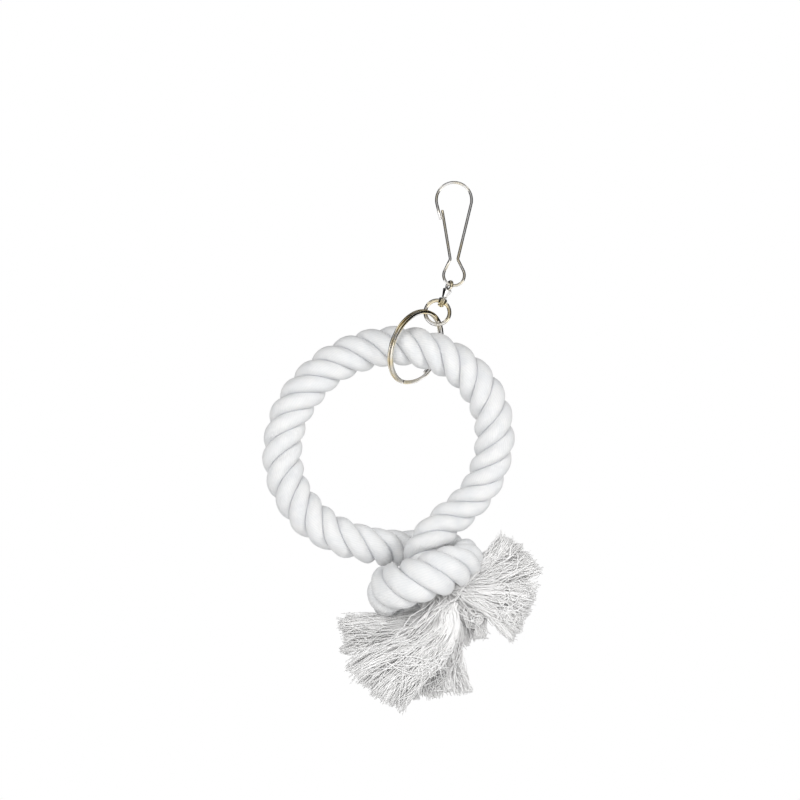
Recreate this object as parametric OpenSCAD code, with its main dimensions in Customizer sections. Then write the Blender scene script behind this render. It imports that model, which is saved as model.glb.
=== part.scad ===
// Ring bird swing: a knotted three-strand cotton rope ring that hangs from a split ring,
// a swivel and a sprung wire hook.
// Millimetres, +Z up, seen from the front along +Y. The origin is the middle of the hook's crown,
// where the bar of a cage passes through.

/* [Hook] */
// Thickness of the spring wire that the hook is bent from
wire_d = 1.4; // [1:0.1:1.8]
// Radius of the crown that goes over the bar, to the middle of the wire
crown_r = 8.8; // [7:0.1:11]
// Drop from the crown's middle to the neck, where the two legs come together
neck_drop = 28.7; // [24:0.1:36]
// Half the space between the legs at the neck, to the middle of the wire
neck_half = 2.1; // [1.7:0.1:3]
// Radius of the outward bend under the neck, to the middle of the wire
neck_r = 3; // [2.4:0.1:4]
// Radius of the lower loop that carries the swivel, to the middle of the wire
loop_r = 5.2; // [4.2:0.1:6.5]
// Drop from the neck to the middle of the lower loop
loop_drop = 8.9; // [7.6:0.1:11]
// Drop from the crown's middle to the end of the nose that stops the gate
nose_drop = 9.8; // [7:0.1:13]
// Length of the sprung gate, from its root at the neck to its tip
gate_length = 25.5; // [21:0.1:27]

/* [Swivel] */
// Radius of the hole in the swivel eye
eye_hole_r = 1.4; // [1.2:0.1:2]
// Thickness of the eye's round band
eye_band_d = 1.5; // [1:0.1:2]
// Turn of the eye about its stem, from square on to the hook
eye_turn = 30; // [0:1:32]
// Lean of the stem from plumb
stem_lean = 24; // [0:1:30]
// Thickness of the stem that turns in the ring's boss
stem_d = 1.5; // [1.2:0.1:2]
// Length of the eye's tapered body
eye_body_length = 4.6; // [3:0.1:7]
// Width of the eye's body at its top
eye_body_d = 4.6; // [3.6:0.1:5]
// Width of the riveted head under the boss
head_d = 3; // [2.6:0.1:3.4]
// Thickness of the riveted head
head_t = 1.1; // [0.8:0.1:1.3]
// Outside width of the swivel ring
swivel_ring_d = 14; // [12:0.1:18]
// Thickness of the swivel ring's wire
swivel_wire_d = 1.9; // [1.4:0.1:2.2]
// Width of the boss that the stem goes through
boss_d = 4.2; // [3.6:0.1:5]
// Length of the boss along the stem
boss_length = 3.4; // [2.8:0.1:4]

/* [Split ring] */
// Outside width of the split ring
split_d = 39; // [36:0.1:50]
// Width of its flat wire, across the ring
split_wire_w = 2; // [1.6:0.1:2.2]
// Thickness of its flat wire, along the ring's axis
split_wire_t = 1.1; // [0.9:0.1:1.2]
// Space between its two turns
split_turn_gap = 0.5; // [0.45:0.05:0.6]
// How far the ring is turned away from the front
split_tilt = 52; // [48:1:56]
// Lean of the ring's long way from plumb, as seen from the front
split_lean = 22; // [15:1:30]

/* [Rope] */
// Thickness of the rope over its three strands
rope_d = 20; // [16:0.5:24]
// Length of rope in which a strand goes once round
lay_length = 33; // [28:1:44]
// Long way across the rope ring, to the middle of the rope
ring_long = 108; // [90:1:130]
// Short way across the rope ring, to the middle of the rope
ring_short = 97; // [85:1:117]
// Turn of the ring's long way from level
ring_turn = 25; // [0:1:30]
// Length of the frayed ends, as a share of those measured
fray_share = 1; // [0.8:0.05:1.1]

/* [Clearances] */
// Space where wire rests on wire
seat_gap = 0.15; // [0.1:0.01:0.2]
// Space round the stem in its boss
run_gap = 0.07; // [0.04:0.01:0.1]
// Space between linked rings
link_gap = 0.4; // [0.3:0.05:0.5]
// Space between the split ring and the rope that hangs in it
rope_gap = 0.7; // [0.6:0.05:0.9]
// Space between neighbouring strands of the rope
strand_gap = 0.3; // [0.2:0.05:0.4]

/* [Hidden] */

round_fn = 48;
edge = 0.5;
steel = "silver";
cotton = "whitesmoke";
frayed_cotton = "gainsboro";

// Vectors
function unit(v) = v / norm(v);
function mix(a, b, share) = a + (b - a) * share;
function within(low, value, high) = max(low, min(high, value));
function ease(share) = let (s = within(0, share, 1)) s * s * (3 - 2 * s);

// Hook: both legs are straight, touch the crown's circle and lean in to the neck
wire_r = wire_d / 2;
wire_bevel = 0.3 * wire_r;
neck_reach = norm([neck_drop, neck_half]);
leg_lean = asin(crown_r / neck_reach) - atan2(neck_half, neck_drop);
leg_down = [-sin(leg_lean), -cos(leg_lean)];
leg_out = [cos(leg_lean), -sin(leg_lean)];
neck = [neck_half, -neck_drop];
loop_middle = [0, -neck_drop - loop_drop];

// The bend under the neck touches the leg and the lower loop
bend_offset = neck + neck_r * leg_out - loop_middle;
bend_along = bend_offset * leg_down;
bend_slide = -bend_along - sqrt(pow(bend_along, 2) - bend_offset * bend_offset + pow(loop_r + neck_r, 2));
leg_end = neck + bend_slide * leg_down;
bend_middle = leg_end + neck_r * leg_out;
bend_meets = atan2(bend_middle[1] - loop_middle[1], bend_middle[0]);
bend_start = 180 - leg_lean;
bend_stop = 180 + bend_meets;

// The gate turns at the root of the left leg and rests on the inner side of the nose
gate_root = [-leg_end[0], leg_end[1]];
root_skip = 2 * seat_gap / neck_r * 180 / PI;
nose_end = [-(crown_r / cos(leg_lean) - nose_drop * tan(leg_lean)), -nose_drop];
nose_from_root = nose_end - gate_root;
gate_lean = atan2(-nose_from_root[0], nose_from_root[1]) - asin((wire_d + seat_gap) / norm(nose_from_root));

// Swivel: the eye hangs on the lower loop's wire where its stem pulls square to it
stem_way = [-sin(stem_lean), 0, -cos(stem_lean)];
eye_drop = loop_r + eye_hole_r - wire_r - seat_gap;
eye_middle = [loop_middle[0], 0, loop_middle[1]] + eye_drop * stem_way;
eye_band_r = eye_hole_r + eye_band_d / 2;
body_top = eye_hole_r + eye_band_d / 3;
body_end = body_top + eye_body_length;
boss_start = body_end + link_gap;
swivel_major_r = (swivel_ring_d - swivel_wire_d) / 2;
swivel_hole_r = swivel_major_r - swivel_wire_d / 2;
boss_end = boss_start + boss_length;
swivel_drop = boss_start + boss_length / 2 + swivel_major_r;
swivel_middle = eye_middle + swivel_drop * stem_way;

// Split ring: it passes askew through the swivel ring, at the side away from the boss
split_r = (split_d - split_wire_w) / 2;
split_band = 2 * split_wire_t + split_turn_gap;
split_pitch = split_wire_t + split_turn_gap;
split_long_way = [sin(split_lean), 0, cos(split_lean)];
split_short_way = [-cos(split_lean) * cos(split_tilt), -sin(split_tilt), sin(split_lean) * cos(split_tilt)];
split_axis = cross(split_long_way, split_short_way);
split_pass = -18;
link_seat = swivel_hole_r - norm([split_wire_w, split_band]) / 2 - 2 * link_gap;
split_middle = swivel_middle + link_seat * stem_way - split_out(split_pass);
function split_out(angle) = split_r * (cos(angle) * split_long_way + sin(angle) * split_short_way);

// Rope ring: it passes through the split ring's middle and rests on its rear limb
rope_r = rope_d / 2;
rope_pass = 74.5;
rope_seat = split_r * sin(split_tilt) - rope_r - split_band / 2 - rope_gap;
ring_middle = split_middle + [0, rope_seat, 0] - ring_reach(rope_pass) * ring_way(rope_pass);
function ring_way(angle) = [cos(angle), 0, sin(angle)];
function ring_reach(angle) =
    1 / norm([2 * cos(angle - ring_turn) / ring_long, 2 * sin(angle - ring_turn) / ring_short]);
function ring_point(angle) = ring_middle + ring_reach(angle) * ring_way(angle);

// Knot: the left end goes once round the right end, which runs down through the middle.
// The routes are in rope diameters from the knot's middle, from the ring to the rope's end.
knot_angle = 290;
knot_shift = [0.09, 0, -1.07];
knot_middle = ring_point(knot_angle) + rope_d * knot_shift;
wrap_route = [
    [-1.25, 0.20, 0.83], [-0.80, 0.60, 0.77], [-0.25, 0.93, 0.74], [0.40, 0.94, 0.70],
    [0.88, 0.55, 0.58], [0.99, -0.08, 0.46], [0.73, -0.68, 0.33], [0.23, -1.00, 0.15],
    [-0.35, -0.98, -0.04], [-0.84, -0.60, -0.19], [-1.00, 0.03, -0.33], [-0.74, 0.63, -0.47],
    [-0.15, 0.95, -0.55], [0.48, 0.92, -0.50], [1.05, 0.65, -0.45]
];
core_route = [
    [0.95, -0.05, 1.78], [0.53, -0.13, 1.42], [0.16, -0.22, 1.06], [-0.10, -0.15, 0.62],
    [-0.12, 0.00, 0.15], [0.10, -0.02, -0.32], [0.36, -0.15, -0.76]
];
ring_leaves = 248;
ring_returns = -25;
ring_points = 21;
route = concat(
    [for (i = [len(wrap_route) - 1 : -1 : 0]) knot_middle + rope_d * wrap_route[i]],
    [for (i = [0 : ring_points]) ring_point(mix(ring_leaves, ring_returns, i / ring_points))],
    [for (p = core_route) knot_middle + rope_d * p]
);

// A smooth line through the route's points, with its direction, a carried normal and the rope laid so far
steps = 5;
route_last = len(route) - 1;
function route_at(i) =
    i < 0 ? 2 * route[0] - route[1] :
    i > route_last ? 2 * route[route_last] - route[route_last - 1] :
    route[i];
function smooth_point(a, b, c, d, t) =
    (2 * b + (c - a) * t + (2 * a - 5 * b + 4 * c - d) * t * t + (3 * b - a - 3 * c + d) * t * t * t) / 2;
line_last = route_last * steps;
line = [
    for (k = [0 : line_last])
        let (i = min(floor(k / steps), route_last - 1))
        smooth_point(route_at(i - 1), route_at(i), route_at(i + 1), route_at(i + 2), k / steps - i)
];
heading = [for (k = [0 : line_last]) unit(line[min(k + 1, line_last)] - line[max(k - 1, 0)])];
function square_to(v, way) = unit(v - (v * way) * way);
function next(k) = min(k + 1, line_last);
side = [
    for (
        k = 0, v = square_to([0, 0, 1], heading[0]);
        k <= line_last;
        v = square_to(v, heading[next(k)]), k = k + 1
    ) v
];
laid = [for (k = 0, s = 0; k <= line_last; s = s + norm(line[next(k)] - line[k]), k = k + 1) s];

// The rope is drawn tighter in the knot than round the ring
knot_tightness = 0.92;
wrap_length = laid[(len(wrap_route) - 1) * steps];
core_length = laid[line_last] - laid[line_last - (len(core_route) - 1) * steps];
tighten_over = 2 * rope_d;
function slack(k) =
    ease((laid[k] - wrap_length) / tighten_over)
    * ease((laid[line_last] - core_length - laid[k]) / tighten_over);
function rope_radius(k) = rope_r * mix(knot_tightness, 1, slack(k));

// Across the knot's front and round its left side the rope is pressed taller.
// The places are points of the route, counted from its first end.
press = 1.3;
press_from = 2;
press_to = 9;
press_over = 2;
function pressed(k) =
    mix(1, press, ease((k / steps - press_from) / press_over) * ease((press_to - k / steps) / press_over));

// The lay gives or takes a little, so that the strands always end in the same places
lay_end_share = 0.758;
lay_turns = round(laid[line_last] / lay_length - lay_end_share) + lay_end_share;

// One strand fills a third of the rope: its inner tip, its flat sides and its rounded crown.
// Each pair is a share of the rope's radius and a share of the way from its middle to its side.
sector_half = 60;
strand_half = [[0.67, 1], [0.84, 0.76], [0.96, 0.4]];
strand_tip = 0.1;
function side_angle(share) = sector_half - asin(strand_gap / 2 / (share * rope_r * knot_tightness));
strand_section = concat(
    [[strand_tip, 0]],
    [for (p = strand_half) [p[0], p[1] * side_angle(p[0])]],
    [[1, 0]],
    [
        for (i = [len(strand_half) - 1 : -1 : 0])
            [strand_half[i][0], -strand_half[i][1] * side_angle(strand_half[i][0])]
    ]
);
function lay_angle(k, strand) = 360 * (strand / 3 + lay_turns * laid[k] / laid[line_last]);
function across(k, angle) = cos(angle) * side[k] + sin(angle) * cross(heading[k], side[k]);
function strand_ring(k, strand) = [
    for (p = strand_section)
        let (out = rope_radius(k) * p[0] * across(k, lay_angle(k, strand) + p[1]))
        line[k] + [out[0], out[1], pressed(k) * out[2]]
];

// Frayed ends: each strand opens into a flat fan of loose yarn.
// A fan's tip and way are from the knot's middle, in rope diameters, and half_width is at the tip.
wrap_end = 0;
core_end = line_last;
fray_root_share = 0.53;
fray_root_half = 0.18;
fray_tip_thick = 0.16;
fray_gap = 0.4;
fray_flare = 1.3;
fray_steps = 10;
fray_sides = 12;
function end_way(k) = k == wrap_end ? -heading[k] : heading[k];
function bezier(a, b, c, d, t) =
    pow(1 - t, 3) * a + 3 * pow(1 - t, 2) * t * b + 3 * (1 - t) * t * t * c + t * t * t * d;
function fray_root(k, strand) =
    line[k] + fray_gap * end_way(k) + fray_root_share * rope_radius(k) * across(k, lay_angle(k, strand));
function fray_line(k, strand, tip, way, bow) =
    let (
        root = fray_root(k, strand),
        end = mix(line[k], knot_middle + rope_d * tip, fray_share),
        pull = bow * norm(end - root)
    )
    [
        for (i = [0 : fray_steps])
            bezier(root, root + pull * end_way(k), end - pull * unit(way), end, i / fray_steps)
    ];

// An oval of points round a line that runs along, wide one way and deep the other
function oval_ring(place, along, wide, half_wide, half_deep, sides) =
    let (deep = cross(along, wide))
    [
        for (j = [0 : sides - 1])
            let (turn = -360 * j / sides)
            place + half_wide * cos(turn) * wide + half_deep * sin(turn) * deep
    ];

// A closed skin over a row of rings that have as many points each
module skin(rings) {
    sides = len(rings[0]);
    last = len(rings) - 1;
    function at(i, j) = i * sides + j % sides;
    walls = [
        for (i = [0 : last - 1], j = [0 : sides - 1])
            let (a = at(i, j), b = at(i, j + 1), c = at(i + 1, j + 1), d = at(i + 1, j))
            each (j < sides - 1 ? [[a, b, c], [a, c, d]] : [[a, b, d], [b, c, d]])
    ];
    first_cap = [for (j = [1 : sides - 2]) [0, j + 1, j]];
    last_cap = [for (j = [1 : sides - 2]) [at(last, 0), at(last, j), at(last, j + 1)]];
    polyhedron([for (ring = rings) each ring], concat(walls, first_cap, last_cap));
}

// Along the stem, from the eye's middle down
module along_stem() {
    translate(eye_middle)
        rotate([0, stem_lean, 0])
            mirror([0, 0, 1])
                children();
}

// Hook wire: nose, crown, right leg, neck and lower loop, up to the root of the gate
function arc_points(middle, radius, from, to, count) = [
    for (i = [0 : count])
        let (angle = mix(from, to, i / count))
        middle + radius * [cos(angle), sin(angle)]
];
function after_first(points) = [for (i = [1 : len(points) - 1]) points[i]];
hook_line = concat(
    [nose_end],
    arc_points([0, 0], crown_r, 180 + leg_lean, -leg_lean, 20),
    arc_points(bend_middle, neck_r, bend_start, bend_stop, 5),
    after_first(arc_points(loop_middle, loop_r, bend_meets, -180 - bend_meets, 24)),
    after_first(arc_points([-bend_middle[0], bend_middle[1]], neck_r, -bend_meets, leg_lean - root_skip, 5))
);
hook_last = len(hook_line) - 1;
wire_sides = 10;

module hook_frame() {
    color(steel)
        skin([
            for (i = [0 : hook_last])
                let (
                    flat_way = unit(hook_line[min(i + 1, hook_last)] - hook_line[max(i - 1, 0)]),
                    along = [flat_way[0], 0, flat_way[1]],
                    place = [hook_line[i][0], 0, hook_line[i][1]]
                )
                oval_ring(place, along, [0, 1, 0], wire_r, wire_r, wire_sides)
        ]);
}

// Sprung leg of the hook: straight wire with a bevel on both ends
module hook_gate() {
    color(steel)
        translate([gate_root[0], 0, gate_root[1]])
            rotate([0, -gate_lean, 0])
                rotate_extrude($fn = round_fn)
                    polygon([
                        [0, 0], [wire_r - wire_bevel, 0], [wire_r, wire_bevel],
                        [wire_r, gate_length - wire_bevel], [wire_r - wire_bevel, gate_length],
                        [0, gate_length]
                    ]);
}

// Swivel eye: a round band, a tapered body, and a stem that is riveted over under the boss
module swivel_eye() {
    collar_d = stem_d + 2 * edge;
    head_start = boss_end + seat_gap;
    color(steel)
        along_stem() {
            rotate([0, 0, eye_turn])
                rotate([0, 90, 0])
                    rotate_extrude($fn = round_fn)
                        translate([eye_band_r, 0])
                            circle(d = eye_band_d, $fn = round_fn);
            rotate_extrude($fn = round_fn)
                polygon([
                    [0, body_top], [eye_body_d / 2 - edge, body_top], [eye_body_d / 2, body_top + edge],
                    [collar_d / 2, body_end - edge], [collar_d / 2, body_end], [stem_d / 2, body_end],
                    [stem_d / 2, head_start], [head_d / 2, head_start], [head_d / 2, head_start + head_t / 2],
                    [head_d / 4, head_start + head_t], [0, head_start + head_t]
                ]);
        }
}

// Swivel ring with the bored boss that the stem turns in
module swivel_ring() {
    boss_r = boss_d / 2;
    color(steel)
        difference() {
            union() {
                translate(swivel_middle)
                    rotate([90, 0, 0])
                        rotate_extrude($fn = round_fn)
                            translate([swivel_major_r, 0])
                                circle(d = swivel_wire_d, $fn = round_fn);
                along_stem()
                    rotate_extrude($fn = round_fn)
                        polygon([
                            [0, boss_start], [boss_r - edge, boss_start], [boss_r, boss_start + edge],
                            [boss_r, boss_end - edge], [boss_r - edge, boss_end], [0, boss_end]
                        ]);
            }
            along_stem()
                translate([0, 0, boss_start - edge])
                    cylinder(h = boss_length + 2 * edge, d = stem_d + 2 * run_gap, $fn = round_fn);
        }
}

// Split ring: flat wire wound nearly twice round, with a crank where it changes from one turn to the other
crank_half = 25;
split_start = 28;
split_stop = 692;
split_rings = 50;
split_end_angle = 152;
split_corner = 0.3;
function split_angle(i) = mix(split_start, split_stop, i / split_rings);
function split_layer(angle) = split_pitch * (ease((angle - 360 + crank_half) / (2 * crank_half)) - 0.5);
split_line = [
    for (i = [0 : split_rings])
        split_middle + split_out(split_angle(i) - split_end_angle) + split_layer(split_angle(i)) * split_axis
];
split_section = let (w = split_wire_w / 2, t = split_wire_t / 2, c = split_corner)
    [[-w, -t], [-w, t], [w - c, t], [w, t - c], [w, c - t], [w - c, -t]];
split_least_gap = min([
    for (i = [0 : split_rings], j = [0 : split_rings])
        if (split_angle(j) - split_angle(i) > 180)
            norm(split_line[i] - split_line[j]) - split_wire_t
]);
echo(least_gap_between_the_split_rings_turns = split_least_gap);

module split_ring() {
    color(steel)
        skin([
            for (i = [0 : split_rings])
                let (out = unit(split_out(split_angle(i) - split_end_angle)))
                [for (p = split_section) split_line[i] + p[0] * out + p[1] * split_axis]
        ]);
}

module rope_strand(strand) {
    color(cotton)
        skin([for (k = [0 : line_last]) strand_ring(k, strand)]);
}

// A fan of frayed yarn from the end of one strand
module fray(k, strand, tip, way, half_width, bow = 0.4) {
    points = fray_line(k, strand, tip, way, bow);
    rings = [
        for (i = [0 : fray_steps])
            let (
                share = i / fray_steps,
                along = i == 0 ? end_way(k) : unit(points[min(i + 1, fray_steps)] - points[i - 1]),
                wide = unit(cross([0, 1, 0], along)),
                half_wide = rope_d * mix(fray_root_half, half_width, pow(share, fray_flare)),
                half_deep = rope_d * mix(fray_root_half, fray_tip_thick, share)
            )
            oval_ring(points[i], along, wide, half_wide, half_deep, fray_sides)
    ];
    color(frayed_cotton)
        skin(rings);
}

hook_frame();
hook_gate();
swivel_eye();
swivel_ring();
split_ring();
rope_strand(0);  // rope_strand_1
rope_strand(1);  // rope_strand_2
rope_strand(2);  // rope_strand_3
fray(core_end, 1, [-2.08, 0.25, -1.37], [-1, 0, -0.08], 0.46, 0.35);  // left_fray
fray(core_end, 0, [-1.3, -0.88, -2.75], [-0.6, 0, -0.8], 0.85, 0.37);  // lower_left_fray
fray(core_end, 2, [0.22, 0.1, -2.92], [0.15, 0, -1], 0.84, 0.35);  // lower_fray
fray(wrap_end, 0, [2.39, 0.4, 0.74], [0.62, 0, 0.78], 0.6);  // upper_right_fray
fray(wrap_end, 1, [2.48, 0.2, -1], [0.9, 0, -0.45], 0.6);  // right_fray
fray(wrap_end, 2, [1.25, 0.45, -1.55], [0.3, 0, -0.95], 0.3, 0.5);  // lower_right_fray
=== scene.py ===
import math
import random

import bmesh
import bpy
from mathutils import Matrix, Vector, noise
from mathutils.bvhtree import BVHTree
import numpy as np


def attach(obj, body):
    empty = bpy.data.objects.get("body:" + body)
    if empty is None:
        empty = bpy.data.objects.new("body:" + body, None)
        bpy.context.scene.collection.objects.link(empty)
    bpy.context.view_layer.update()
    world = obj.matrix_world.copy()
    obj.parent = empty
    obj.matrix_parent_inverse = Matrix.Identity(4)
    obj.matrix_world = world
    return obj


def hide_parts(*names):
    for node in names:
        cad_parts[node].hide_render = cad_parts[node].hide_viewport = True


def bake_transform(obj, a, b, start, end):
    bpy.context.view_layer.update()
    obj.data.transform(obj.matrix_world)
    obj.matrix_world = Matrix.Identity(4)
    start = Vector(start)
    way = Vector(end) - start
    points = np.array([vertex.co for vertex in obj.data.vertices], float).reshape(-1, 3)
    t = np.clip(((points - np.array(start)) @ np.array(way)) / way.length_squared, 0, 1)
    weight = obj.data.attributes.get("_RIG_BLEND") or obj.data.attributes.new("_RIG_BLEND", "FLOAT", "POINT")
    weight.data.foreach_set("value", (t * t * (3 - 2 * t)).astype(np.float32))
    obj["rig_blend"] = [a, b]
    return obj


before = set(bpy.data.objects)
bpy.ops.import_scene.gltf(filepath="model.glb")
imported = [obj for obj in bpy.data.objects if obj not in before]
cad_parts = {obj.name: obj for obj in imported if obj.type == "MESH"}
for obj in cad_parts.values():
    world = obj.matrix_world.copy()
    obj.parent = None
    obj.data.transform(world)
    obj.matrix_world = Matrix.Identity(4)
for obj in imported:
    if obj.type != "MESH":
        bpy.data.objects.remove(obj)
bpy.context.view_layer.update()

# Shapes are worked out in millimetres, in the part's own frame, and made metres as each piece is finished
MM = 0.001
UP = Vector((0, 0, 1))
BACK = Vector((0, 1, 0))


def mix(a, b, share):
    return a + (b - a) * share


def held(value, low, high):
    return min(max(value, low), high)


def ease(share):
    share = held(share, 0, 1)
    return share * share * (3 - 2 * share)


def level(degrees):
    """The way that an angle points, seen from the front."""
    turn = math.radians(degrees)
    return Vector((math.cos(turn), 0, math.sin(turn)))


def square_to(way, along):
    return (way - way.dot(along) * along).normalized()


# Finishes, in linear colours
NICKEL_GREY = (0.78, 0.77, 0.76, 1)
NICKEL_TARNISH = (0.80, 0.68, 0.42, 1)
ROPE_WHITE = (0.80, 0.80, 0.797, 1)
ROPE_GREYER = (0.73, 0.74, 0.75, 1)
ROPE_LINE = (0.64, 0.65, 0.67, 1)
# Grey of the painted shade in the grooves between the rope's strands
ROPE_GROOVE_SHADE = (0.70, 0.71, 0.73, 1)
YARN_DULL = (0.92, 0.913, 0.905, 1)
YARN_BRIGHT = (0.99, 0.985, 0.98, 1)
YARN_TWIST = (0.74, 0.73, 0.72, 1)
PLATED_ROUGHNESS = 0.16
COTTON_ROUGHNESS = 0.95


def new_finish(name, roughness, metallic=0.0):
    finish = bpy.data.materials.new(name)
    finish.use_nodes = True
    surface = finish.node_tree.nodes["Principled BSDF"]
    surface.inputs["Roughness"].default_value = roughness
    surface.inputs["Metallic"].default_value = metallic
    return finish, finish.node_tree, surface


def add_node(tree, kind, sockets=None, **settings):
    node = tree.nodes.new(kind)
    for name, value in settings.items():
        setattr(node, name, value)
    for name, value in (sockets or {}).items():
        if isinstance(value, bpy.types.NodeSocket):
            tree.links.new(value, node.inputs[name])
        else:
            node.inputs[name].default_value = value
    return node


def blended(tree, share, first, second):
    """A colour that goes from the first to the second."""
    node = tree.nodes.new("ShaderNodeMix")
    node.data_type = "RGBA"
    for socket, value in zip((node.inputs[0], node.inputs[6], node.inputs[7]), (share, first, second)):
        if isinstance(value, bpy.types.NodeSocket):
            tree.links.new(value, socket)
        else:
            socket.default_value = value
    return node.outputs[2]


def spread(tree, value, low, high, to_low=0.0, to_high=1.0):
    """The value's part between low and high, spread from to_low to to_high."""
    node = add_node(tree, "ShaderNodeMapRange", {
        "Value": value, "From Min": low, "From Max": high, "To Min": to_low, "To Max": to_high,
    })
    return node.outputs["Result"]


def patches(tree, place, scale, detail):
    """Soft random patches."""
    node = add_node(tree, "ShaderNodeTexNoise", {"Vector": place, "Scale": scale, "Detail": detail})
    return node.outputs["Fac"]


def make_nickel():
    """Bright plating with warm patches and a little wear."""
    finish, tree, surface = new_finish("bright_nickel", PLATED_ROUGHNESS, metallic=1.0)
    place = add_node(tree, "ShaderNodeTexCoord").outputs["Object"]
    tarnish = add_node(tree, "ShaderNodeTexNoise", {
        "Vector": place, "W": 6.3, "Scale": 70.0, "Detail": 2.0,
    }, noise_dimensions="4D")
    warm = spread(tree, tarnish.outputs["Fac"], low=0.43, high=0.6)
    tree.links.new(blended(tree, warm, NICKEL_GREY, NICKEL_TARNISH), surface.inputs["Base Color"])
    wear = patches(tree, place, scale=900.0, detail=4.0)
    worn = spread(tree, wear, low=0.3, high=0.7, to_low=0.08, to_high=0.2)
    tree.links.new(worn, surface.inputs["Roughness"])
    dents = add_node(tree, "ShaderNodeBump", {"Height": wear, "Strength": 0.05, "Distance": 0.0002})
    tree.links.new(dents.outputs["Normal"], surface.inputs["Normal"])
    return finish


def make_cotton():
    """Laid cotton: yarn lines from the rope's own map, painted shade along the grooves between strands, a
    soft nap.
    """
    finish, tree, surface = new_finish("laid_cotton", COTTON_ROUGHNESS)
    surface.inputs["Specular IOR Level"].default_value = 0.2
    place = add_node(tree, "ShaderNodeTexCoord").outputs
    yarns = add_node(tree, "ShaderNodeTexWave", {
        "Vector": place["UV"], "Scale": 16.3, "Distortion": 2.2, "Detail": 2.0, "Detail Scale": 1.4,
    }, wave_type="BANDS", bands_direction="X", wave_profile="SIN").outputs["Fac"]
    cloud = patches(tree, place["Object"], scale=150.0, detail=3.0)
    nap = patches(tree, place["Object"], scale=1700.0, detail=3.0)
    # Painted shade: the colour goes grey along each strand's edges, where the grooves between strands lie
    groove_shade = add_node(tree, "ShaderNodeAttribute", attribute_name="groove_shade").outputs["Fac"]
    white = blended(tree, spread(tree, cloud, low=0.35, high=0.7), ROPE_WHITE, ROPE_GREYER)
    between_yarns = spread(tree, yarns, low=0.0, high=0.35, to_low=0.3, to_high=0.0)
    lined = blended(tree, between_yarns, white, ROPE_LINE)
    tree.links.new(blended(tree, groove_shade, lined, ROPE_GROOVE_SHADE), surface.inputs["Base Color"])
    ribs = add_node(tree, "ShaderNodeBump", {"Height": yarns, "Strength": 0.3, "Distance": 0.0003})
    fuzz = add_node(tree, "ShaderNodeBump", {
        "Height": nap, "Strength": 0.3, "Distance": 0.0002, "Normal": ribs.outputs["Normal"],
    })
    tree.links.new(fuzz.outputs["Normal"], surface.inputs["Normal"])
    return finish


def make_loose_cotton():
    """Loose yarn: every yarn its own shade, twisted along its length."""
    finish, tree, surface = new_finish("loose_cotton", COTTON_ROUGHNESS)
    surface.inputs["Sheen Weight"].default_value = 0.4
    surface.inputs["Sheen Roughness"].default_value = 0.6
    place = add_node(tree, "ShaderNodeTexCoord").outputs
    shade = add_node(tree, "ShaderNodeAttribute", attribute_name="shade").outputs["Fac"]
    twist = add_node(tree, "ShaderNodeTexWave", {
        "Vector": place["UV"], "Scale": 4.0, "Distortion": 1.0,
    }, wave_type="BANDS", bands_direction="DIAGONAL", wave_profile="SIN").outputs["Fac"]
    yarn = blended(tree, shade, YARN_DULL, YARN_BRIGHT)
    between_plies = spread(tree, twist, low=0.0, high=0.4, to_low=0.15, to_high=0.0)
    tree.links.new(blended(tree, between_plies, yarn, YARN_TWIST), surface.inputs["Base Color"])
    ply = add_node(tree, "ShaderNodeBump", {"Height": twist, "Strength": 0.4, "Distance": 0.0002})
    tree.links.new(ply.outputs["Normal"], surface.inputs["Normal"])
    return finish


NICKEL = make_nickel()
COTTON = make_cotton()
LOOSE_COTTON = make_loose_cotton()


# Making pieces
def wrap_tubes(bm, tubes):
    """Wraps a grid round tubes, each a row of rings, cuts it between them and closes their ends.

    Returns each face of the walls with its places on the grid: a ring's number, counted over all the
    tubes, and a number round the ring for every corner."""
    sides = len(tubes[0][0])
    row = sides + 1
    rings = [ring for tube in tubes for ring in tube]
    verts = bmesh.ops.create_grid(bm, x_segments=sides, y_segments=len(rings) - 1, size=1)["verts"]
    for n, vert in enumerate(verts):
        vert.co = rings[n // row][n % row % sides]
        vert.index = n
    corners = {}
    for vert in verts:
        for face in vert.link_faces:
            corners[face] = [divmod(corner.index, row) for corner in face.verts]
    first_rings = [0]
    for tube in tubes:
        first_rings.append(first_rings[-1] + len(tube))
    cuts = set(first_rings[1:-1])
    bridges = [face for face, places in corners.items() if max(places)[0] in cuts]
    for face in bridges:
        del corners[face]
    bmesh.ops.delete(bm, geom=bridges, context="FACES")
    bmesh.ops.weld_verts(bm, targetmap={verts[n + sides]: verts[n] for n in range(0, len(verts), row)})
    for first, last in zip(first_rings, first_rings[1:]):
        bm.faces.new(verts[first * row:first * row + sides])
        bm.faces.new(verts[(last - 1) * row:(last - 1) * row + sides])
    return corners


def finish_piece(bm, name, finish, nodes, body=None, flat_caps=False):
    """Makes the piece in metres, at the origin, hides the parts that it stands for and hangs it on what it
    moves with.

    Only caps have more than four corners."""
    bmesh.ops.recalc_face_normals(bm, faces=bm.faces)
    bmesh.ops.scale(bm, vec=Vector((MM, MM, MM)), verts=bm.verts)
    for face in bm.faces:
        face.smooth = not (flat_caps and len(face.verts) > 4)
    mesh = bpy.data.meshes.new(name)
    bm.to_mesh(mesh)
    bm.free()
    mesh.materials.append(finish)
    piece = bpy.data.objects.new(name, mesh)
    bpy.context.scene.collection.objects.link(piece)
    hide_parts(*nodes)
    if body:
        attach(piece, body)
    return piece


def round_ring(place, along, radius, sides, wide_way=BACK):
    """A round ring of points square to a line."""
    wide = square_to(wide_way, along)
    deep = along.cross(wide)
    turns = [2 * math.pi * j / sides for j in range(sides)]
    return [place + radius * (math.cos(turn) * wide + math.sin(turn) * deep) for turn in turns]


def headings(points):
    last = len(points) - 1
    return [(points[min(i + 1, last)] - points[max(i - 1, 0)]).normalized() for i in range(last + 1)]


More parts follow.
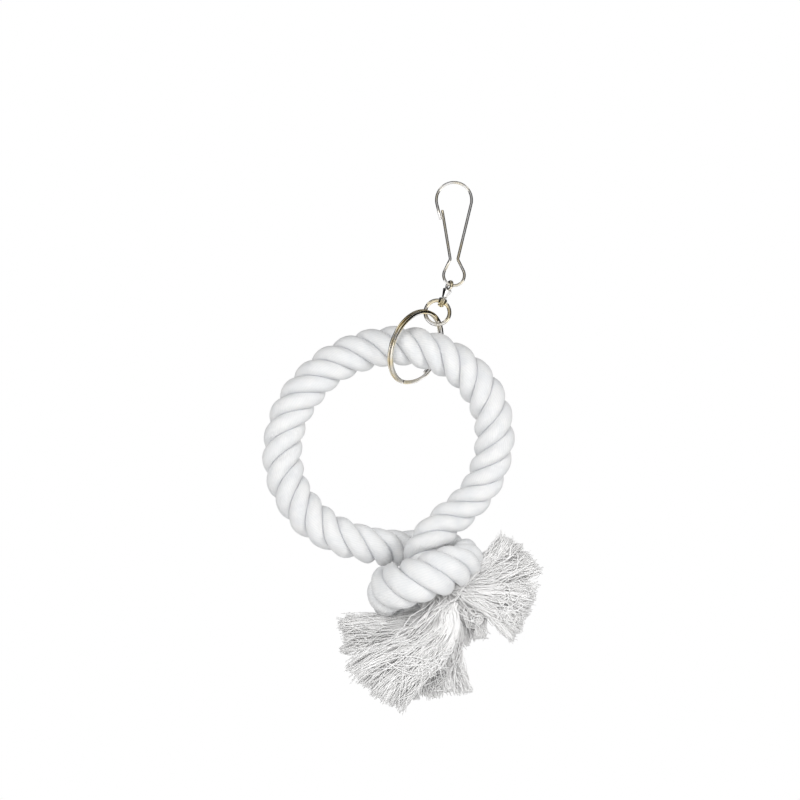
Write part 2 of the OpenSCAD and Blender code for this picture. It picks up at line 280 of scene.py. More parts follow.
# Rope: the route that its middle takes, from the end that is wrapped round to the end that runs through.
# Angles on the ring are in degrees from the right, and points in the knot are in rope diameters.
ROPE_D = 20
ROPE_R = ROPE_D / 2
RING_LONG = 108
RING_SHORT = 97
RING_TURN = 25
RING_MIDDLE = Vector((-32.7416, -1.97671, -122.391))
KNOT_MIDDLE = Vector((-14.3415, -1.97671, -189.4))
RING_LEAVES = 248
RING_RETURNS = -25
RING_POINTS = 21
WRAP_ROUTE = (
    (-1.25, 0.20, 0.81), (-0.80, 0.60, 0.74), (-0.25, 0.93, 0.74), (0.40, 0.94, 0.70), (0.88, 0.55, 0.58),
    (0.99, -0.08, 0.46), (0.73, -0.68, 0.33), (0.23, -1.00, 0.15), (-0.35, -0.98, -0.04),
    (-0.84, -0.60, -0.19), (-1.00, 0.03, -0.33), (-0.74, 0.63, -0.47), (-0.15, 0.95, -0.55),
    (0.48, 0.92, -0.50), (1.05, 0.65, -0.45),
)
CORE_ROUTE = (
    (0.95, -0.05, 1.78), (0.53, -0.13, 1.42), (0.16, -0.22, 1.06), (-0.10, -0.15, 0.62),
    (-0.12, 0.00, 0.15), (0.10, -0.02, -0.32), (0.36, -0.15, -0.76),
)
ROUTE_STEPS = 5
FINE_STEPS = 3
KNOT_TIGHTNESS = 0.92
TIGHTEN_OVER = 2 * ROPE_D
LAY_TURNS = 15.758
# Where the rope is pressed in the knot, in points of its route
PRESS = 1.34
PRESS_FROM = 2
PRESS_TO = 9
PRESS_OVER = 2


def ring_point(angle):
    askew = math.radians(angle - RING_TURN)
    reach = 1 / math.hypot(2 * math.cos(askew) / RING_LONG, 2 * math.sin(askew) / RING_SHORT)
    return RING_MIDDLE + reach * level(angle)


def in_knot(place):
    return KNOT_MIDDLE + ROPE_D * Vector(place)


def smooth_line(route, steps):
    """A smooth line through the points of a route."""
    padded = [2 * route[0] - route[1]] + route + [2 * route[-1] - route[-2]]
    line = []
    for a, b, c, d in zip(padded, padded[1:], padded[2:], padded[3:]):
        for n in range(steps):
            t = n / steps
            bend = 2 * a - 5 * b + 4 * c - d
            turn = 3 * b - a - 3 * c + d
            line.append((2 * b + (c - a) * t + bend * t**2 + turn * t**3) / 2)
    return line + [route[-1].copy()]


route = [in_knot(p) for p in reversed(WRAP_ROUTE)]
route += [ring_point(mix(RING_LEAVES, RING_RETURNS, i / RING_POINTS)) for i in range(RING_POINTS + 1)]
route += [in_knot(p) for p in CORE_ROUTE]

rope_line = smooth_line(route, ROUTE_STEPS * FINE_STEPS)
rope_last = len(rope_line) - 1
rope_ways = headings(rope_line)
coarse_line = rope_line[::FINE_STEPS]
coarse_ways = headings(coarse_line)
coarse_sides = [square_to(UP, coarse_ways[0])]
coarse_laid = [0.0]
for before, here, way in zip(coarse_line, coarse_line[1:], coarse_ways[1:]):
    coarse_sides.append(square_to(coarse_sides[-1], way))
    coarse_laid.append(coarse_laid[-1] + (here - before).length)
ROPE_LENGTH = coarse_laid[-1]
wrap_length = coarse_laid[(len(WRAP_ROUTE) - 1) * ROUTE_STEPS]
core_length = ROPE_LENGTH - coarse_laid[-1 - (len(CORE_ROUTE) - 1) * ROUTE_STEPS]


def between(values, k):
    """A value of the coarse line at a step of the fine one."""
    i = min(k // FINE_STEPS, len(values) - 2)
    return mix(values[i], values[i + 1], k / FINE_STEPS - i)


rope_laid = [between(coarse_laid, k) for k in range(rope_last + 1)]
rope_sides = [square_to(between(coarse_sides, k), rope_ways[k]) for k in range(rope_last + 1)]


def rope_radius(k):
    slack = ease((rope_laid[k] - wrap_length) / TIGHTEN_OVER)
    slack *= ease((ROPE_LENGTH - core_length - rope_laid[k]) / TIGHTEN_OVER)
    return ROPE_R * mix(KNOT_TIGHTNESS, 1, slack)


def pressed(k):
    """How much taller the rope is pressed across the knot's front and round its left side."""
    place = k / (ROUTE_STEPS * FINE_STEPS)
    return mix(1, PRESS, ease((place - PRESS_FROM) / PRESS_OVER) * ease((PRESS_TO - place) / PRESS_OVER))


def lay_turn(k, strand):
    """Turns of the lay at a step of the line."""
    return strand / 3 + LAY_TURNS * rope_laid[k] / ROPE_LENGTH


def across(k, turns):
    turn = 2 * math.pi * turns
    return math.cos(turn) * rope_sides[k] + math.sin(turn) * rope_ways[k].cross(rope_sides[k])


# A strand's section: rounded crown, then its flat sides down to the rope's middle.
# Its points are a share of the rope's radius and a share of half the strand's sector.
CROWN_STEPS = 18
CROWN_FULLNESS = 2.5
GROOVE_DEPTH = 0.33
SECTOR_HALF = 59.9 / 360
STRAND_MIDDLE = 0.53
FLANK = 0.45
FLANK_ASIDE = 0.98
STRAND_TIP = 0.1
# Painted shade in the grooves begins at this share of a strand's half width
GROOVE_SHADE_STARTS = 0.93
LAY_MAP_SCALE = 10
UNEVEN = 0.04
UNEVEN_IN_KNOT = 0.07
UNEVEN_SIZE = 9
FRAYS_OVER = 14
FRAYED_SIZE = 0.45

strand_section = []
for i in range(CROWN_STEPS + 1):
    aside = 2 * i / CROWN_STEPS - 1
    strand_section.append((1 - GROOVE_DEPTH * abs(aside) ** CROWN_FULLNESS, aside))
strand_section += [(FLANK, FLANK_ASIDE), (STRAND_TIP, 0), (FLANK, -FLANK_ASIDE)]

# What loose yarn can lie on, as seen from the front
fronts = []


def strand_ring(k, strand):
    """A strand's ring of points. It is a little uneven, and thins where the rope's ends are frayed."""
    radius = rope_radius(k)
    turns = lay_turn(k, strand)
    middle = rope_line[k] + STRAND_MIDDLE * radius * across(k, turns)
    from_end = min(rope_laid[k], ROPE_LENGTH - rope_laid[k])
    size = mix(FRAYED_SIZE, 1, ease(from_end / FRAYS_OVER))
    taller = pressed(k)
    uneven = mix(UNEVEN_IN_KNOT, UNEVEN, (radius / ROPE_R - KNOT_TIGHTNESS) / (1 - KNOT_TIGHTNESS))
    ring = []
    for share, aside in strand_section:
        out = radius * share * across(k, turns + aside * SECTOR_HALF)
        out.z *= taller
        out *= 1 + uneven * noise.noise((rope_line[k] + out) / UNEVEN_SIZE)
        ring.append(middle + size * (rope_line[k] + out - middle))
    return ring


def make_laid_rope():
    bm = bmesh.new()
    groove_shade = bm.verts.layers.float.new("groove_shade")
    lay_map = bm.loops.layers.uv.verify()
    sides = len(strand_section)
    strands = [[strand_ring(k, strand) for k in range(rope_last + 1)] for strand in range(3)]
    for face, places in wrap_tubes(bm, strands).items():
        for loop, (ring, i) in zip(face.loops, places):
            strand, k = divmod(ring, rope_last + 1)
            aside = strand_section[i % sides][1]
            # Painted shade for the grooves: one along each strand's edges, nothing on its crown
            loop.vert[groove_shade] = held((abs(aside) - GROOVE_SHADE_STARTS) / (1 - GROOVE_SHADE_STARTS), 0, 1)
            turns = lay_turn(k, strand) + aside * SECTOR_HALF
            loop[lay_map].uv = (turns, rope_laid[k] * MM * LAY_MAP_SCALE)
    fronts.append(BVHTree.FromBMesh(bm))
    return finish_piece(
        bm, "laid_rope", COTTON, ["rope_strand_1", "rope_strand_2", "rope_strand_3"], "rope"
    )


laid_rope = make_laid_rope()

# Tassels: each strand's end opens into a fan of loose yarn.
# Each has the rope's end and the strand it is on, its tip and the way it points there, from the knot's
# middle and in rope diameters, half its width at the tip, how far its line bows at both ends, as a share
# of its length, and how far its sides lean in depth, in millimetres.
WRAP_END = 0
CORE_END = rope_last
TASSELS = {
    "left": (CORE_END, 1, (-2.08, 0.25, -1.37), (-1, 0, -0.08), 0.46, 0.35, 0),
    "lower_left": (CORE_END, 0, (-1.3, -0.88, -2.75), (-0.6, 0, -0.8), 0.85, 0.37, -5),
    "lower": (CORE_END, 2, (0.22, 0.1, -2.92), (0.15, 0, -1), 0.84, 0.35, -6),
    "upper_right": (WRAP_END, 0, (2.39, 0.4, 0.74), (0.62, 0, 0.78), 0.6, 0.4, 0),
    "lower_right": (WRAP_END, 2, (1.25, 0.45, -1.55), (0.3, 0, -0.95), 0.3, 0.5, 0),
    "right": (WRAP_END, 1, (2.48, 0.2, -1), (0.9, 0, -0.45), 0.6, 0.4, 0),
}
# How many locks each has, how far they lie to its sides, in shares of its half width, the share of its
# yarn that comes from under the knot's edge, where there, and how many yarns lie across it
LOCKS = {
    "left": (16, (-1, 1), 0.45, (0.25, -0.15, -0.84), 3),
    "lower_left": (28, (-1, 1), 0.35, (0.42, -0.45, -0.68), 30),
    "lower": (28, (-1, 1), 0.5, (0.54, -0.45, -0.62), 24),
    "upper_right": (25, (-1, 1.2), 0.65, (0.86, -0.3, -0.1), 5),
    "lower_right": (10, (-1, 1), 0.5, (0.66, -0.35, -0.5), 5),
    "right": (30, (-1.5, 1), 0.65, (0.76, -0.4, -0.22), 14),
}
FRAY_GAP = 0.4
ROOT_HALF = 0.22
TIP_THICK = 0.16
FLARE = 1.2
CURVE_STEP = 0.02


def end_way(k):
    return -rope_ways[k] if k == WRAP_END else rope_ways[k]


def bezier(a, b, c, d, t):
    return (1 - t) ** 3 * a + 3 * (1 - t) ** 2 * t * b + 3 * (1 - t) * t**2 * c + t**3 * d


class Fan:
    """The space that a tassel's yarn fills: a line from the strand's end to the tip, and an oval round it."""

    def __init__(self, end, strand, tip, way, half_width, bow, lean):
        self.end = end
        self.strand = strand
        self.half_width = half_width
        self.lean = lean
        self.root = self.strand_middle(end) + FRAY_GAP * end_way(end)
        self.tip = in_knot(tip)
        self.length = (self.tip - self.root).length
        self.leave = self.root + bow * self.length * end_way(end)
        self.arrive = self.tip - bow * self.length * Vector(way).normalized()

    def strand_middle(self, k):
        return rope_line[k] + STRAND_MIDDLE * rope_radius(k) * across(k, lay_turn(k, self.strand))

    def line(self, share):
        return bezier(self.root, self.leave, self.arrive, self.tip, share)

    def at(self, share, aside, deep):
        """A place in the fan: a share of its length, and shares of its width and depth."""
        along = (self.line(share + CURVE_STEP) - self.line(share - CURVE_STEP)).normalized()
        wide_way = BACK.cross(along).normalized()
        half_wide = ROPE_D * mix(ROOT_HALF, self.half_width, max(share, 0) ** FLARE)
        half_deep = ROPE_D * mix(ROOT_HALF, TIP_THICK, share)
        middle = self.line(share) + aside * share * self.lean * BACK
        return middle + aside * half_wide * wide_way + deep * half_deep * along.cross(wide_way)

    def inside(self, back, aside, deep):
        """A place in the strand, that far back from its end."""
        steps = 0
        while abs(rope_laid[self.end] - rope_laid[abs(self.end - steps)]) < back:
            steps += 1
        k = abs(self.end - steps)
        wide_way = square_to(BACK.cross(end_way(self.end)), rope_ways[k])
        deep_way = end_way(self.end).cross(wide_way)
        return self.strand_middle(k) + ROPE_D * ROOT_HALF * (aside * wide_way + deep * deep_way)


# Waves grow from nothing at a yarn's root to their full height half way along it
WAVE_LEAST = 0.4
WAVE_DEPTH = 0.5
WAVE_GROWS = 2


class Wave:
    """A slow sway to and fro along a yarn or a lock of yarns."""

    def __init__(self, draw, height, waves):
        self.heights = [height * draw.uniform(WAVE_LEAST, 1) for _ in range(3)]
        self.waves = [2 * math.pi * draw.uniform(*waves) for _ in range(3)]
        self.phases = [draw.uniform(0, 2 * math.pi) for _ in range(3)]

    def at(self, share):
        swing = [h * math.sin(p + w * share) for h, w, p in zip(self.heights, self.waves, self.phases)]
        return Vector((swing[0], WAVE_DEPTH * swing[1], swing[2])) * ease(WAVE_GROWS * share)


# Locks of yarn. Places across are in shares of the fan's half width and half depth, lengths in shares of
# the fan's length, and sways in millimetres with their number of waves.
LOCK_YARNS = 32
LOCK_LENGTH = (0.95, 1.01)
LOCK_DRIFT_ASIDE = 0.1
LOCK_DRIFT_DEEP = 0.3
LOCK_SWAY = 1.8
LOCK_WAVES = (0.5, 1.6)
EDGE_THINNER = 0.35
EDGE_SHORTER = 0.02
OUTSIDE_SHORTER = 0.25
YARN_POINTS = 15
YARN_LENGTH = (-0.04, 0.03)
YARN_ROOT_ASIDE = 0.2
YARN_ROOT_DEEP = 0.3
YARN_LOOSE = 0.1
YARN_CRIMP = 0.5
YARN_WAVES = (1.5, 4.5)
STRAY_SHARE = 0.22
STRAY_LOOSE = 0.45
STRAY_CRIMP = 1.5
SIDE_ROOM = 0.06
DEEPEST = 1.2
FAN_STARTS = 0.02
# Yarn begins inside its strand, that far back from the end and that close together,
# or at the knot's edge, where two points lead out from under the rope and the fan only pulls it its way
INSIDE = (14, 9, 4)
INSIDE_SIZE = (0.3, 0.7, 0.95)
NECK_LEADS = (Vector((-3, 6, 4)), Vector((-1, 2.5, 2)))
NECK_SPREAD = 2
FAN_PULLS = 0.6


def lock_of_yarns(fan, draw, aside, sides, from_neck, neck):
    """The points of yarns that keep together, from inside the rope to the fan's edge."""
    yarns = []
    deep = draw.uniform(-1, 1) * (1 - EDGE_THINNER * aside**2)
    drift_aside = draw.gauss(0, LOCK_DRIFT_ASIDE)
    drift_deep = draw.gauss(0, LOCK_DRIFT_DEEP)
    sway = Wave(draw, LOCK_SWAY, LOCK_WAVES)
    lock_length = draw.uniform(*LOCK_LENGTH) - EDGE_SHORTER * aside**2
    lock_length -= OUTSIDE_SHORTER * max(abs(aside) - 1, 0)
    for _ in range(LOCK_YARNS):
        stray = draw.random() < STRAY_SHARE
        loose = STRAY_LOOSE if stray else YARN_LOOSE
        root_aside = held(aside + draw.gauss(0, YARN_ROOT_ASIDE), -1, 1)
        root_deep = held(deep + draw.gauss(0, YARN_ROOT_DEEP), -1, 1)
        tip_aside = aside + drift_aside + draw.gauss(0, loose)
        tip_aside = held(tip_aside, sides[0] - SIDE_ROOM, sides[1] + SIDE_ROOM)
        tip_deep = held(deep + drift_deep + draw.gauss(0, 2 * loose), -DEEPEST, DEEPEST)
        crimp = Wave(draw, STRAY_CRIMP if stray else YARN_CRIMP, YARN_WAVES)
        length = lock_length + draw.uniform(*YARN_LENGTH)
        start = None
        if draw.random() < from_neck:
            start = in_knot(neck) + Vector([draw.gauss(0, NECK_SPREAD) for _ in range(3)])
            points = [start + lead for lead in NECK_LEADS]
        else:
            places = zip(INSIDE, INSIDE_SIZE)
            points = [fan.inside(back, size * root_aside, size * root_deep) for back, size in places]
        tip = fan.at(length, tip_aside, tip_deep)
        count = YARN_POINTS - len(points)
        for j in range(count):
            share = mix(FAN_STARTS, length, j / (count - 1))
            opened = ease(share)
            place = fan.at(share, mix(root_aside, tip_aside, opened), mix(root_deep, tip_deep, opened))
            if start:
                place = start.lerp(tip, j / (count - 1)).lerp(place, FAN_PULLS * share)
            points.append(place + sway.at(share) + crimp.at(share))
        yarns.append(points)
    return yarns


# The yarn itself. A yarn that runs nearly straight to the back takes its rings' first way from up.
YARN_R = 0.29
YARN_SIZES = (0.65, 1.3)
YARN_SIDES = 4
YARN_TIP = 0.7
YARN_MAP_STEP = 1.6
YARN_ASKEW = Vector((0.3, 1, 0.2))
NEARLY_BACK = 0.9


def yarn_rings(points, radius):
    """Rings along a yarn, which thins a little at its tip."""
    sizes = [radius] * (len(points) - 1) + [YARN_TIP * radius]
    return [
        round_ring(place, along, size, YARN_SIDES, UP if abs(along.y) > NEARLY_BACK else YARN_ASKEW)
        for place, along, size in zip(points, headings(points), sizes)
    ]


def add_yarns(bm, yarns, draw):
    """Yarns along rows of points, each of its own thickness and shade."""
    shade = bm.verts.layers.float["shade"]
    yarn_map = bm.loops.layers.uv.verify()
    tubes = [yarn_rings(points, YARN_R * draw.uniform(*YARN_SIZES)) for points in yarns]
    shades = [draw.random() for _ in yarns]
    steps = [(n, j) for n, points in enumerate(yarns) for j in range(len(points))]
    for face, places in wrap_tubes(bm, tubes).items():
        for loop, (ring, i) in zip(face.loops, places):
            n, j = steps[ring]
            loop.vert[shade] = shades[n]
            loop[yarn_map].uv = (i / YARN_SIDES, j * YARN_MAP_STEP)


# Single yarns that lie on the rest
FAR_IN_FRONT = -200
FRONT_REACH = 2
TANGLE_POINTS = 20
TANGLE_STARTS = (0.3, 0.6)
TANGLE_STOPS = (0.75, 0.97)
TANGLE_WIDTH = 0.9
TANGLE_SWAY = 3.5
TANGLE_WAVES = (0.6, 1.6)
CURL_POINTS = 16
CURL_STARTS = 200
CURL_INNER = 0.2
TAIL_POINTS = 3
TAIL_LEFT = -0.6
TAIL_UP = 0.25


def neighbours(values):
    """Each value with the few before and after it."""
    return [values[max(i - FRONT_REACH, 0):i + FRONT_REACH + 1] for i in range(len(values))]


def lies_on_front(points):
    """The points moved to and fro until they lie on whatever is foremost there, as seen from the front."""
    depths = []
    for point in points:
        eye = Vector((point.x, FAR_IN_FRONT, point.z))
        hits = [tree.ray_cast(eye, BACK)[0] for tree in fronts]
        depths.append(min((hit.y for hit in hits if hit), default=KNOT_MIDDLE.y))
    foremost = [min(near) for near in neighbours(depths)]
    eased = [sum(near) / len(near) for near in neighbours(foremost)]
    return [Vector((p.x, depth - YARN_R, p.z)) for p, depth in zip(points, eased)]


def tangled_yarn(fan, draw, sides):
    """A yarn that lies across the rest of its tassel."""
    first = draw.uniform(*TANGLE_STARTS)
    last = draw.uniform(*TANGLE_STOPS)
    start = draw.uniform(*sides)
    stop = draw.uniform(*sides)
    sway = Wave(draw, TANGLE_SWAY, TANGLE_WAVES)
    points = []
    for j in range(TANGLE_POINTS):
        share = j / (TANGLE_POINTS - 1)
        aside = TANGLE_WIDTH * mix(start, stop, ease(share))
        points.append(fan.at(mix(first, last, share), aside, 0) + sway.at(share))
    return points


def curled_yarn(middle, width, turns):
    """A yarn that has sprung back into a flat curl, with a tail to the left."""
    steps = round(CURL_POINTS * turns)
    curl = []
    for i in range(steps + 1):
        reach = width / 2 * mix(1, CURL_INNER, i / steps)
        curl.append(middle + reach * level(CURL_STARTS - 360 * turns * i / steps))
    tail = []
    for n in range(TAIL_POINTS, 0, -1):
        left = TAIL_LEFT * width * n / TAIL_POINTS
        up = TAIL_UP * width * n / TAIL_POINTS
        tail.append(curl[0] + Vector((left, 0, up)))
    return tail + curl


# On the right tassel lie two curls of two yarns each, given by their middle, width and turns,
# and along the knot's lower right edge a yarn and a second one that winds beside it
CURLS = ((12, -209.5, 7, 2.4), (12.3, -210, 5.6, 1.6), (28.5, -208.5, 11, 2.4), (28, -209.2, 9, 1.5))
EDGE_ROUTE = ((-11, -204.5), (-4.5, -201), (0.5, -198.5), (6, -191), (12, -185.5))
EDGE_STEPS = 6
BESIDE_RIGHT = 0.45
BESIDE_UP = -0.35
BESIDE_WINDS = 0.3
BESIDE_TURN = 0.9
edge_line = smooth_line([Vector((x, 0, z)) for x, z in EDGE_ROUTE], EDGE_STEPS)
beside_line = []
for i, place in enumerate(edge_line):
    up = BESIDE_UP + BESIDE_WINDS * math.sin(BESIDE_TURN * i)
    beside_line.append(place + Vector((BESIDE_RIGHT, 0, up)))
LYING_YARNS = {
    "right": [curled_yarn(Vector((x, 0, z)), width, turns) for x, z, width, turns in CURLS],
}
LYING_YARNS["right"] += [edge_line, beside_line]
LOCK_PLACE = (0.1, 0.9)


def make_tassel(name, seed):
    fan = Fan(*TASSELS[name])
    locks, sides, from_neck, neck, tangles = LOCKS[name]
    draw = random.Random(seed)
    yarns = []
    for n in range(locks):
        aside = mix(*sides, (n + draw.uniform(*LOCK_PLACE)) / locks)
        yarns += lock_of_yarns(fan, draw, aside, sides, from_neck, neck)
    bm = bmesh.new()
    bm.verts.layers.float.new("shade")
    add_yarns(bm, yarns, draw)
    fronts.append(BVHTree.FromBMesh(bm))
    lying = [tangled_yarn(fan, draw, sides) for _ in range(tangles)]
    lying += LYING_YARNS.get(name, [])
    add_yarns(bm, [lies_on_front(points) for points in lying], draw)
    return finish_piece(bm, name + "_tassel", LOOSE_COTTON, [name + "_fray"], "rope")


tassels = [make_tassel(name, seed) for seed, name in enumerate(TASSELS)]

# Hook: one wire, bent in a plane, from its nose to the tip of its sprung leg
WIRE_R = 0.7
WIRE_SIDES = 20
WIRE_BEVEL = 0.3
CROWN_R = 8.8
CROWN_POINTS = 48
NECK_DROP = 29.6
NECK_R = 1.2
NECK_POINTS = 8
LOOP_R = 5.2
LOOP_POINTS = 60
LOOP_MIDDLE = Vector((0, 0, -37.6))
NOSE_DROP = 9.8
NOSE_END = Vector((-6.67991, 0, -NOSE_DROP))
LEG_LEAN = 13.6215
GATE_LENGTH = 25.5
GATE_LEAN = 9.37622
GATE_POINTS = 12
GATE_ROOT = Vector((-1.74879, 0, -30.1493))
BEND_HALF = Vector((0, 0, 1.4))


def arc(middle, radius, first, last, count):
    return [middle + radius * level(mix(first, last, i / count)) for i in range(count + 1)]


def flank_angle(neck):
    """The angle on the lower loop at which a straight flank from the neck meets it."""
    reach = neck - LOOP_MIDDLE
    open_half = math.copysign(math.acos(LOOP_R / reach.length), neck.x)
    return math.degrees(math.atan2(reach.z, reach.x) - open_half)


def rounded_corner(before, corner, after, radius, count):
    """Points round a corner of the wire."""
    first = (before - corner).normalized()
    second = (after - corner).normalized()
    half = first.angle(second) / 2
    middle = corner + radius / math.sin(half) * (first + second).normalized()
    start = corner + radius / math.tan(half) * first - middle
    stop = corner + radius / math.tan(half) * second - middle
    return [middle + radius * start.lerp(stop, i / count).normalized() for i in range(count + 1)]


gate_way = level(90 + GATE_LEAN)
leg_way = level(90 - LEG_LEAN)
crown_end = CROWN_R * level(-LEG_LEAN)
leg_neck = crown_end - leg_way * (crown_end.z + NECK_DROP) / leg_way.z
gate_neck = GATE_ROOT - gate_way * (GATE_ROOT.z + NECK_DROP) / gate_way.z
gate_tip = GATE_ROOT + GATE_LENGTH * gate_way
loop_line = arc(LOOP_MIDDLE, LOOP_R, flank_angle(leg_neck), flank_angle(gate_neck) - 360, LOOP_POINTS)
wire_line = [NOSE_END] + arc(Vector(), CROWN_R, 180 + LEG_LEAN, -LEG_LEAN, CROWN_POINTS)
wire_line += rounded_corner(crown_end, leg_neck, loop_line[0], NECK_R, NECK_POINTS) + loop_line
leg_line = [loop_line[-1]] + rounded_corner(loop_line[-1], gate_neck, gate_tip, NECK_R, NECK_POINTS)
leg_top = leg_line[-1]
leg_line += [leg_top.lerp(gate_tip, i / GATE_POINTS) for i in range(1, GATE_POINTS + 1)]


def wire_rings(points, bevel_first, bevel_last):
    """Rings along the wire, with the edge taken off its cut ends."""
    ways = headings(points)
    rings = [round_ring(p, way, WIRE_R, WIRE_SIDES) for p, way in zip(points, ways)]
    if bevel_first:
        rings[0] = round_ring(points[0] + WIRE_BEVEL * ways[0], ways[0], WIRE_R, WIRE_SIDES)
        rings.insert(0, round_ring(points[0], ways[0], WIRE_R - WIRE_BEVEL, WIRE_SIDES))
    if bevel_last:
        rings[-1] = round_ring(points[-1] - WIRE_BEVEL * ways[-1], ways[-1], WIRE_R, WIRE_SIDES)
        rings.append(round_ring(points[-1], ways[-1], WIRE_R - WIRE_BEVEL, WIRE_SIDES))
    return rings


wire_bm = bmesh.new()
wrap_tubes(wire_bm, [wire_rings(wire_line, True, False)])
finish_piece(wire_bm, "hook_wire", NICKEL, ["hook_frame"], "hook", flat_caps=True)

leg_bm = bmesh.new()
wrap_tubes(leg_bm, [wire_rings(leg_line, False, True)])
sprung_leg = finish_piece(leg_bm, "sprung_leg", NICKEL, ["hook_gate"], flat_caps=True)
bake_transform(sprung_leg, "hook", "gate", (GATE_ROOT - BEND_HALF) * MM, (GATE_ROOT + BEND_HALF) * MM)

# Split ring: flat wire wound nearly twice round, from its start to its stop in degrees
SPLIT_R = 18.5
SPLIT_WIRE_W = 2
SPLIT_WIRE_T = 1.1
SPLIT_WIRE_FULLNESS = 2.8
SPLIT_WIRE_POINTS = 20
SPLIT_PITCH = 1.6
SPLIT_MIDDLE = Vector((-19.2174, -4.50491, -73.6247))
SPLIT_LEAN = math.radians(22)
SPLIT_TILT = math.radians(52)
SPLIT_START = 28
SPLIT_STOP = 692
SPLIT_END_ANGLE = 152
SPLIT_RINGS = 300
CRANK_HALF = 25
split_long_way = Vector((math.sin(SPLIT_LEAN), 0, math.cos(SPLIT_LEAN)))
split_short_way = Vector((
    -math.cos(SPLIT_LEAN) * math.cos(SPLIT_TILT),
    -math.sin(SPLIT_TILT),
    math.sin(SPLIT_LEAN) * math.cos(SPLIT_TILT),
))
split_axis = split_long_way.cross(split_short_way)


def flat_oval(width, thick, fullness, count):
    """Points round the section of a round wire that was rolled flat."""
    points = []
    for n in range(count):
        turn = 2 * math.pi * (n + 0.5) / count
        x = math.cos(turn)
        y = math.sin(turn)
        points.append((
            width / 2 * math.copysign(abs(x) ** (2 / fullness), x),
            thick / 2 * math.copysign(abs(y) ** (2 / fullness), y),
        ))
    return points


split_section = flat_oval(SPLIT_WIRE_W, SPLIT_WIRE_T, SPLIT_WIRE_FULLNESS, SPLIT_WIRE_POINTS)


def split_ring_at(angle):
    turn = math.radians(angle - SPLIT_END_ANGLE)
    out = math.cos(turn) * split_long_way + math.sin(turn) * split_short_way
    layer = SPLIT_PITCH * (ease((angle - 360 + CRANK_HALF) / (2 * CRANK_HALF)) - 0.5)
    place = SPLIT_MIDDLE + SPLIT_R * out + layer * split_axis
    return [place + x * out + y * split_axis for x, y in split_section]


split_bm = bmesh.new()
split_rings = [split_ring_at(mix(SPLIT_START, SPLIT_STOP, i / SPLIT_RINGS)) for i in range(SPLIT_RINGS + 1)]
wrap_tubes(split_bm, [split_rings])
finish_piece(split_bm, "split_ring_wire", NICKEL, ["split_ring"], "split", flat_caps=True)

# Swivel: its own nodes, plated
for name in ("swivel_eye", "swivel_ring"):
    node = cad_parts[name]
    node.data.materials.clear()
    node.data.materials.append(NICKEL)

# Studio, in metres
scene = bpy.context.scene
scene.view_settings.view_transform = "Standard"
WHITE = (1, 1, 1, 1)
NEARLY_WHITE = (0.94, 0.94, 0.94, 1)
GREY = (0.7, 0.7, 0.7, 1)
BLACK = (0.02, 0.02, 0.02, 1)


def seen_directly(tree):
    """One for rays that show the background: to the camera, mirrored or through glass."""
    path = add_node(tree, "ShaderNodeLightPath").outputs
    seen = path["Is Camera Ray"]
    for ray in ("Is Glossy Ray", "Is Transmission Ray"):
        seen = add_node(tree, "ShaderNodeMath", {0: seen, 1: path[ray]}, operation="MAXIMUM").outputs[0]
    return seen


# The world is a white ground, and lights the swing less than it shows
WORLD_LIGHT = 0.6
world = bpy.data.worlds.new("studio")
world.use_nodes = True
scene.world = world
sky = world.node_tree
strength = spread(sky, seen_directly(sky), low=0, high=1, to_low=WORLD_LIGHT, to_high=1.0)
sky.links.new(strength, sky.nodes["Background"].inputs["Strength"])
sky.nodes["Background"].inputs["Color"].default_value = WHITE

VIEW_MIDDLE = Vector((-0.027, 0, -0.100))
VIEW_WIDTH = 0.4
CAMERA_FAR = 2.4
SENSOR_WIDTH = 36
camera_data = bpy.data.cameras.new("front_camera")
camera_data.sensor_width = SENSOR_WIDTH
camera_data.lens = SENSOR_WIDTH * CAMERA_FAR / VIEW_WIDTH
camera = bpy.data.objects.new("front_camera", camera_data)
camera.location = VIEW_MIDDLE - CAMERA_FAR * BACK
camera.rotation_euler = (math.pi / 2, 0, 0)
scene.collection.objects.link(camera)
scene.camera = camera

# Square soft lamps that face the swing and aren't mirrored in it: place, size and watts
LAMPS = {
    "front_lamp": ((-0.3, -1.6, 0.45), 0.6, 12.8),
    "side_lamp": ((1.2, -1.0, 0.2), 0.5, 6),
    "low_lamp": ((-0.9, -1.2, -0.6), 0.5, 5),
    "rear_lamp": ((0.1, 1.7, 0.15), 0.9, 12),
}
for name, (place, size, watts) in LAMPS.items():
    lamp_data = bpy.data.lights.new(name, "AREA")
    lamp_data.shape = "SQUARE"
    lamp_data.size = size
    lamp_data.energy = watts
    lamp = bpy.data.objects.new(name, lamp_data)
    lamp.location = place
    lamp.rotation_euler = (VIEW_MIDDLE - Vector(place)).to_track_quat("-Z", "Y").to_euler()
    lamp.visible_glossy = False
    scene.collection.objects.link(lamp)

SHEET_ROUGHNESS = 0.9
SHEET_SHINE = 0.1


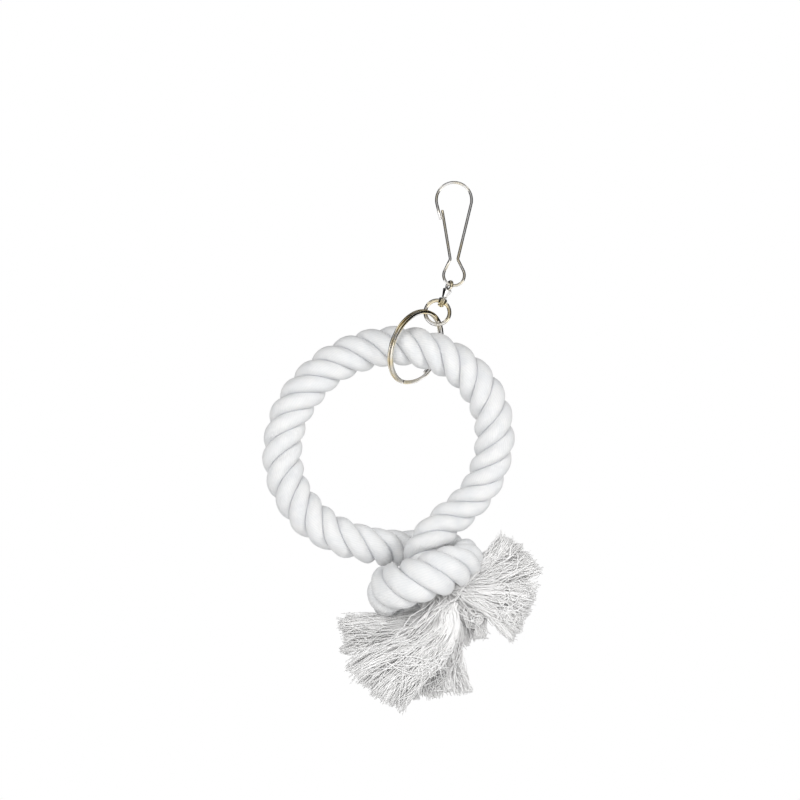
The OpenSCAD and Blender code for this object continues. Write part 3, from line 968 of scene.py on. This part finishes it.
def add_sheet(name, middle, size_x, size_y, facing, colour):
    """A flat sheet in the studio that faces the way given."""
    bm = bmesh.new()
    bmesh.ops.create_grid(bm, x_segments=1, y_segments=1, size=0.5)
    turn = Vector(facing).to_track_quat("Z", "Y").to_matrix().to_4x4()
    place = Matrix.Translation(Vector(middle)) @ turn @ Matrix.Diagonal((size_x, size_y, 1, 1))
    bmesh.ops.transform(bm, matrix=place, verts=bm.verts)
    mesh = bpy.data.meshes.new(name)
    bm.to_mesh(mesh)
    bm.free()
    finish, _, surface = new_finish(name + "_paint", SHEET_ROUGHNESS)
    surface.inputs["Base Color"].default_value = colour
    surface.inputs["Specular IOR Level"].default_value = SHEET_SHINE
    mesh.materials.append(finish)
    sheet = bpy.data.objects.new(name, mesh)
    scene.collection.objects.link(sheet)
    return sheet


# The floor keeps the swing's shadow and fades into the white ground further out
FLOOR_MIDDLE = Vector((-0.027, 0, -0.45))
FLOOR_SIZE = 2.4
FADE_FROM = 0.3
FADE_TO = 1.0
floor = add_sheet("studio_floor", FLOOR_MIDDLE, FLOOR_SIZE, FLOOR_SIZE, UP, NEARLY_WHITE)
paint = floor.data.materials[0].node_tree
floor_place = add_node(paint, "ShaderNodeTexCoord").outputs["Object"]
far_out = add_node(paint, "ShaderNodeVectorMath", {0: floor_place, 1: FLOOR_MIDDLE}, operation="DISTANCE")
fade = spread(paint, far_out.outputs["Value"], FADE_FROM, FADE_TO)
glow = add_node(paint, "ShaderNodeMath", {0: fade, 1: seen_directly(paint)}, operation="MULTIPLY")
floor_surface = paint.nodes["Principled BSDF"]
paint.links.new(glow.outputs[0], floor_surface.inputs["Emission Strength"])
floor_surface.inputs["Emission Color"].default_value = WHITE

# Cards that the metal mirrors, so that bright wire keeps dark edges on a white ground.
# The one on top also shades the rope's upper side.
CARDS = {
    "left_card": ((-0.8, 0, 0), 1.6, 1.3, (1, 0, 0), BLACK),
    "right_card": ((0.8, 0, 0), 1.6, 1.3, (-1, 0, 0), BLACK),
    "top_card": ((0, 0.1, 0.9), 1.4, 1.4, (0, 0, -1), BLACK),
    "rear_card": ((0, 0.9, 0), 2.4, 1.6, (0, -1, 0), BLACK),
    "front_card": ((0, -2.7, 0), 5.0, 2.0, (0, 1, 0), GREY),
}
for name, (middle, size_x, size_y, facing, colour) in CARDS.items():
    card = add_sheet(name, middle, size_x, size_y, facing, colour)
    card.visible_camera = False
    card.visible_diffuse = name == "top_card"
    card.visible_shadow = False
    card.visible_transmission = False
